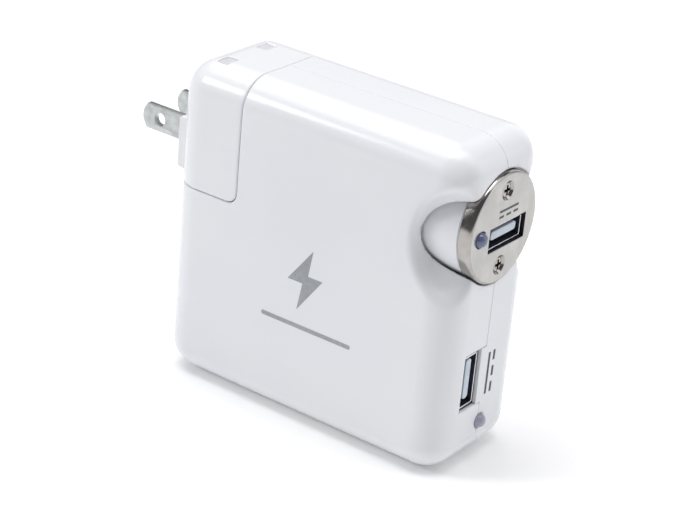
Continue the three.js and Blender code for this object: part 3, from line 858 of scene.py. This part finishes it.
def port_pieces(shell_node, tongue_node, body, upright, tongue_side, face_x, recess, slide, shade_liner=None):
    """A receptacle: folded metal shell, with painted shade on its inner walls and on a rear plate, and a tongue
    with four contacts near its mouth.

    A liner, given as its width and height, is a near-black sheet of painted shade in the gap between the shell
    and the wall round it.
    """
    low, high = box_mm(shell_node)
    u, v = (low[1] + high[1]) / 2, (low[2] + high[2]) / 2
    wide, tall = high[1] - low[1], high[2] - low[2]
    front = face_x - recess
    loops = [
        rounded_rectangle(u, v, wide, tall, 0.5),
        rounded_rectangle(u, v, wide - 2 * SHEET, tall - 2 * SHEET, 0.25),
    ]
    shell = plate(shell_node + "_metal", loops, "x", (low[0], front), PLATED, 0.08)
    # The shell's inner walls are painted near-black: painted shade inside the port.
    reach = (wide / 2 - SHEET + 0.05, tall / 2 - SHEET + 0.05)
    repaint(shell, PAINTED_SHADE_METAL, lambda at: (
        abs(at[1] - u) < reach[0] and abs(at[2] - v) < reach[1] and at[0] < front - 0.1))
    finish_piece(shell, body, "plated_metal", shell_node)

    back = box_mm(tongue_node)[0][0]
    tip = front - 0.1
    long_side = (tall if upright else wide) - 3.0
    across = tongue_side * ((wide if upright else tall) / 2 - TONGUE_INSET - TONGUE_THICK / 2)
    centre = (u + across, v + slide) if upright else (u + slide, v + across)
    size = (TONGUE_THICK, long_side) if upright else (long_side, TONGUE_THICK)
    tongue = rounded_rectangle(*centre, *size, TONGUE_ROUND)
    bar = plate("bar", [tongue], "x", (back + 1, tip), PORT_PLASTIC, 0.2)
    # A near-black rear plate at the back of the port: painted shade.
    rear = plate(
        "rear", [rounded_rectangle(u, v, wide - 2 * SHEET - 0.2, tall - 2 * SHEET - 0.2, 0.2)],
        "x", (back, back + 2), PAINTED_SHADE_METAL, 0.1)
    parts = [bar, rear]
    # The liner: a near-black sheet in the gap round the shell, painted shade.
    if shade_liner:
        loops = [
            rounded_rectangle(u, v, *shade_liner, 0.15),
            rounded_rectangle(u, v, wide + 0.02, tall + 0.02, 0.5),
        ]
        parts.append(plate("shade_liner", loops, "x", (face_x - WALL, front - 0.15), PAINTED_SHADE_METAL, 0.02))
    under = across - tongue_side * (TONGUE_THICK / 2 + 0.02)
    for step in CONTACT_STEPS:
        place = (u + under, centre[1] + step) if upright else (centre[0] + step, v + under)
        strip = (0.18, 1.0) if upright else (1.0, 0.18)
        parts.append(plate("contact", [rounded_rectangle(*place, *strip, 0.05, 2)],
                           "x", (back + 1.5, tip - 1.2), BRASS, 0.03))
    finish_piece(joined(tongue_node + "_block", *parts), body, "port_plastic", tongue_node)


port_pieces("port_shell", "port_tongue", "housing", True, -1, SIDE_X, 0.75, 0.5, (6.42, 14.42))
port_pieces("car_port_shell", "car_port_tongue", "in_car_charger", False, 1, CAP_X, 0.7, -0.4)


# ---------------------------------------------------------------- in-car charger

def lens_piece(node, body, material, face_x, dome_r, proud):
    """A light's lens: a flange in its hole and a round dome that stands proud of the face."""
    low, high = box_mm(node)
    centre = (low + high) / 2
    radius = (high[1] - low[1]) / 2
    base = face_x - 0.25
    rise = proud + 0.25
    dome = []
    for angle in np.linspace(0, math.pi / 2, 10)[:-1]:
        dome.append((base + rise * math.sin(angle), dome_r * math.cos(angle)))
    profile = [(low[0], 0), (low[0], radius), (base - 0.05, radius), (base, radius - 0.06)] + dome
    lens = turned(node + "_dome", profile + [(base + rise, 0)], material, centre[1], centre[2], 48)
    return finish_piece(lens, body, "lens", node)


CAP_RIM = 0.62
CAP_FACE = 1.3
SINK_R = 2.3
SINK_FLOOR = 1.85
LIGHT_HOLE = 2.05


def cap_piece():
    face_r = CAP_R - CAP_RIM
    skin = CAP_R - 0.9
    loops = [
        circle(0, AXIS_Z, face_r, 128),
        rounded_rectangle(CAP_PORT[1], CAP_PORT[2], *CAP_WINDOW, 0.25),
        circle(CAP_LIGHT[1], CAP_LIGHT[2], LIGHT_HOLE, 48),
    ]
    for node in ("cap_screw_upper", "cap_screw_lower"):
        loops.append(circle(0, centre_mm(node)[2], SINK_R, 48))
    face = plate("face", loops, "x", (CAP_X - CAP_FACE, CAP_X), SATIN, 0.09)
    # The walls of the port window through the face are painted near-black: painted shade in the hole.
    reach = (CAP_WINDOW[0] / 2 + 0.05, CAP_WINDOW[1] / 2 + 0.05)
    repaint(face, PAINTED_SHADE_METAL, lambda at: (
        abs(at[1] - CAP_PORT[1]) < reach[0] and abs(at[2] - CAP_PORT[2]) < reach[1] and at[0] < CAP_X - 0.1))
    bend = []
    for angle in np.linspace(0, math.pi / 2, 9):
        bend.append((CAP_X - 0.06 - 1.1 * (1 - math.sin(angle)), face_r + CAP_RIM * math.cos(angle)))
    skirt = turned("skirt", [
        (CAP_BACK_X, skin), (CAP_BACK_X, CAP_R - 0.15),
        (CAP_BACK_X + 0.15, CAP_R - 0.03), (CAP_BACK_X + 0.9, CAP_R),
        *bend, (CAP_X - CAP_FACE, face_r), (CAP_X - CAP_FACE, skin),
    ], POLISHED, sides=128)
    sinks = []
    for node in ("cap_screw_upper", "cap_screw_lower"):
        sinks.append(turned("sink", [
            (CAP_X - 0.03, SINK_R + 0.01), (CAP_X - 0.6, SINK_FLOOR),
            (CAP_X - 1.2, SINK_FLOOR), (CAP_X - 1.2, SINK_R + 0.01),
        ], POLISHED, 0, centre_mm(node)[2], 48))
    cap = joined("metal_cap", face, skirt, *sinks)
    return finish_piece(cap, "in_car_charger", "cap_metal", "cap")


def cap_screw(node):
    low = box_mm(node)[0]
    z = centre_mm(node)[2]
    top = CAP_X - 0.3
    screw = turned("screw", [
        (low[0], 0), (low[0], 0.7), (low[0] + 0.6, 1.0), (top - 1.1, 1.0), (top - 0.6, 1.7),
        (top - 0.3, 1.75), (top - 0.12, 1.6), (top, 1.1), (top + 0.03, 0),
    ], POLISHED, 0, z, 48)
    arms = []
    for size in ((2.4, 0.7), (0.7, 2.4)):
        arm = rounded_rectangle(0, z, *size, 0.1, 2)
        arms.append(plate("arm", [arm], "x", (top - 0.7, top + 1), PAINTED_SHADE_METAL, 0.02))
    screw = shade(carved(screw, *arms))
    # The faces inside the cross recess are painted near-black: painted shade in the recess.
    repaint(screw, PAINTED_SHADE_METAL, lambda at: (
        at[0] > top - 0.75 and at[0] < top - 0.05 and math.hypot(at[1], at[2] - z) < 1.3))
    screw.name = screw.data.name = node + "_cross"
    return finish_piece(screw, "in_car_charger", "plated_metal", node)


def barrel_piece():
    low, high = box_mm("barrel")
    collar_r = (high[2] - low[2]) / 2
    shaft_r = 10.4
    skin = 1.6
    front, nose = high[0], low[0]
    step_x = CAP_X - 22
    profile = [
        (nose, 6), (nose, 7.4), (nose + 0.15, 7.65), (nose + 2.2, shaft_r - 0.15), (nose + 2.7, shaft_r),
        (step_x - 3.2, shaft_r), (step_x - 2.8, shaft_r + 0.15),
        (step_x - 0.3, collar_r - 0.2), (step_x + 0.2, collar_r),
        (front - 0.25, collar_r), (front, collar_r - 0.2), (front, collar_r - skin),
        (step_x, collar_r - skin), (step_x - 2.5, shaft_r - skin), (nose + 3, shaft_r - skin), (nose + 1.6, 6),
    ]
    barrel = turned("barrel", profile, WHITE, sides=128)
    slots = []
    for node in ("side_contact_front", "side_contact_back"):
        s_low, s_high = box_mm(node)
        outer = s_high[1] if s_high[1] > 0 else s_low[1]
        loop = rounded_rectangle((s_low[0] + s_high[0]) / 2, AXIS_Z, s_high[0] - s_low[0] - 1.4, 3.6, 0.6)
        slots.append(plate("slot", [loop], "y", sorted((outer * 1.2, outer * 0.5)), WHITE, 0.01))
    barrel = shade(carved(barrel, *slots))
    barrel.name = barrel.data.name = "charger_barrel"
    return finish_piece(barrel, "in_car_charger", "white_housing", "barrel")


def tip_pieces():
    low, high = box_mm("tip_nut")
    nut = turned("nose_nut", [
        (low[0], 2.8), (low[0], 5.0), (low[0] + 0.2, 5.25), (high[0] - 1.1, 7.15), (high[0] - 0.9, 7.4),
        (high[0], 7.4), (high[0], 3.9), (high[0] - 0.9, 3.9), (high[0] - 0.9, 2.8),
    ], PLATED)
    finish_piece(nut, "in_car_charger", "plated_metal", "tip_nut")
    low, high = box_mm("tip_pin")
    tip = low[0]
    dome = [(tip + 1.1 * (1 - math.cos(a)), 2.3 * math.sin(a)) for a in np.linspace(0, math.pi / 2, 9)]
    collar = high[0] - 1.6
    pin = turned("nose_pin", [(tip, 0)] + dome[1:] + [
        (collar, 2.3), (collar, 3.3), (collar + 0.1, 3.4), (high[0] - 0.1, 3.4), (high[0], 3.3), (high[0], 0),
    ], PLATED)
    finish_piece(pin, "nose_contact", "plated_metal", "tip_pin")


LEAF_FOOT = 8.0
LEAF_ROOT = 8.4


def side_contact(node, body):
    low, high = box_mm(node)
    side = 1 if high[1] > 0 else -1
    outer = high[1] if side > 0 else -low[1]
    start, stop = low[0] + 1, high[0] - 1
    arch = [(start, LEAF_FOOT)]
    for share in np.linspace(0, 1, 13):
        rise = (outer - LEAF_ROOT) * math.sin(math.pi * share) ** 0.55
        arch.append((start + 0.3 + (stop - start - 0.6) * share, LEAF_ROOT + rise))
    arch.append((stop, LEAF_FOOT))
    leaf = plate("leaf", [[(x, y * side) for x, y in arch]], "z", (AXIS_Z - 1.4, AXIS_Z + 1.4), PLATED, 0.15)
    foot = plate(
        "foot", [rounded_rectangle((low[0] + high[0]) / 2, side * 7.9, high[0] - low[0], 0.8, 0.2)],
        "z", (AXIS_Z - 2, AXIS_Z + 2), PLATED, 0.08)
    return finish_piece(joined(node + "_leaf", leaf, foot), body, "plated_metal", node)


cap_piece()
for screw_node in ("cap_screw_upper", "cap_screw_lower"):
    cap_screw(screw_node)
lens_piece("cap_light", "in_car_charger", LENS, CAP_X, 1.84, 1.45)
lens_piece("port_light", "housing", PALE_LENS, SIDE_X, 1.78, 1.6)
barrel_piece()
tip_pieces()
side_contact("side_contact_front", "earth_contact_front")
side_contact("side_contact_back", "earth_contact_back")


# ---------------------------------------------------------------- printed marks, generic

def bolt_mark():
    """A lightning bolt on the front face, with a plain rule under it."""
    x, z, size = 0.8, 37.5, 8.0
    points = [(0.22, 1.0), (-0.62, -0.12), (-0.08, -0.12), (-0.22, -1.0), (0.62, 0.16), (0.1, 0.16)]
    bolt = [(x + size * u, z + size * v) for u, v in points]
    rule = rounded_rectangle(x + 1.2, 25.4, 26, 1.1, 0.5)
    y = -HALF_DEPTH
    parts = [plate("mark", [loop], "y", (y - 0.03, y + 0.05), GREY_INK, 0.01) for loop in (bolt, rule)]
    return finish_piece(joined("front_mark", *parts), "housing", "grey_insert")


def current_mark(name, body, x, u, v, upright, size=1.0):
    """The direct-current sign: a bar beside three dashes."""
    bars = [(0, 0.75, 6.6, 0.5)] + [(step * 2.5, -0.45, 1.6, 0.5) for step in (-1, 0, 1)]
    parts = []
    for along, across, long, thick in bars:
        place = (u - across * size, v + along * size) if upright else (u + along * size, v + across * size)
        extent = (thick * size, long * size) if upright else (long * size, thick * size)
        bar = rounded_rectangle(*place, *extent, 0.12, 3)
        parts.append(plate("bar", [bar], "x", (x - 0.05, x + 0.03), DARK_INK, 0.01))
    return finish_piece(joined(name, *parts), body, "black_plastic")


bolt_mark()
current_mark("cap_mark", "in_car_charger", CAP_X, 1.4, AXIS_Z + 3.6, False, 1.15)
current_mark("port_mark", "housing", SIDE_X, 3.4, LOW_PORT[2] - 0.4, True, 1.65)


# ---------------------------------------------------------------- CAD nodes that stay, repainted

KEPT = {
    WHITE: ["plug_head_cover"],
    GREY: ["insulating_sheet", "fuse", "tip_fuse"],
    PLATED: ["guide_button", "inlet_pin_front", "inlet_pin_back", "tip_spring"],
    BRASS: ["dock_contact", "dock_earth_ring", "terminal_front", "terminal_back"],
    BLACK: ["dock_sleeve", "inlet_block", "inlet_lead_front", "inlet_lead_back", "rectifier", "power_switch"],
    MASK: ["main_board", "port_board", "car_board"],
    FERRITE: ["transformer_core"],
    TAPE: ["transformer_coil", "noise_capacitor"],
    COPPER: ["choke_core", "car_coil"],
    SLEEVE: ["input_capacitor", "output_capacitor", "car_capacitor"],
    ALUMINIUM: ["heat_sink"],
}
for material, nodes in KEPT.items():
    for node in nodes:
        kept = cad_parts[node]
        kept.data.materials.clear()
        kept.data.materials.append(material)


# ---------------------------------------------------------------- floor, light and camera

def floor():
    bpy.ops.mesh.primitive_plane_add(size=8, location=(0, 0, 0))
    sheet = bpy.context.object
    sheet.name = "floor"
    sheet.data.materials.append(floor_paper())


LIGHT_DISTANCE = 1.6


def softbox(name, azimuth, elevation, size, power, colour):
    """A square soft light aimed at the object; azimuth 0 is in front of it and 90 to its right."""
    turn, lift = math.radians(azimuth), math.radians(elevation)
    away = Vector((math.sin(turn) * math.cos(lift), -math.cos(turn) * math.cos(lift), math.sin(lift)))
    light = bpy.data.lights.new(name, "AREA")
    light.shape = "SQUARE"
    light.size = size
    light.energy = power
    light.color = colour
    lamp = bpy.data.objects.new(name, light)
    lamp.location = Vector((0, 0, 0.04)) + away * LIGHT_DISTANCE
    lamp.rotation_euler = away.to_track_quat("Z", "Y").to_euler()
    bpy.context.scene.collection.objects.link(lamp)


LIGHTS = [
    ("top_box", 0, 90, 1.0, 13.4, (0.96, 0.97, 1.0)),
    ("left_high_box", -60, 66, 0.8, 5.8, (1.0, 0.98, 0.97)),
    ("right_high_box", 120, 55, 1.0, 4.7, (1.0, 0.97, 0.95)),
    ("back_high_box", -120, 55, 1.0, 3.6, (1.0, 0.96, 0.94)),
    ("left_low_box", -48, 32, 0.3, 6.2, (0.93, 0.96, 1.0)),
    ("right_low_box", 130, 18, 1.0, 3.6, (0.87, 0.91, 1.0)),
    ("back_low_box", 180, 18, 1.0, 3.0, (0.92, 0.96, 1.0)),
]


def studio():
    world = bpy.data.worlds.new("studio")
    bpy.context.scene.world = world
    world.use_nodes = True
    world.node_tree.nodes["Background"].inputs["Color"].default_value = (1.0, 0.98, 0.98, 1)
    world.node_tree.nodes["Background"].inputs["Strength"].default_value = 0.125
    for light in LIGHTS:
        softbox(*light)
    bpy.context.scene.view_settings.view_transform = "Standard"


CAMERA_ANGLES = (34.383, 25.086, 5.452)
CAMERA_PLACE = (0.26287, -0.38183, 0.25364)
CAMERA_LENS = 111.82


def camera():
    azimuth, elevation, roll = (math.radians(angle) for angle in CAMERA_ANGLES)
    level = math.cos(elevation)
    back = Vector((math.sin(azimuth) * level, -math.cos(azimuth) * level, math.sin(elevation)))
    right = Vector((math.cos(azimuth), math.sin(azimuth), 0))
    up = back.cross(right)
    turn = Matrix((
        math.cos(roll) * right + math.sin(roll) * up,
        -math.sin(roll) * right + math.cos(roll) * up,
        back,
    )).transposed().to_4x4()
    data = bpy.data.cameras.new("camera")
    data.sensor_width = 36
    data.lens = CAMERA_LENS
    data.clip_start = 0.01
    eye = bpy.data.objects.new("camera", data)
    eye.matrix_world = Matrix.Translation(CAMERA_PLACE) @ turn
    bpy.context.scene.collection.objects.link(eye)
    bpy.context.scene.camera = eye


floor()
studio()
camera()
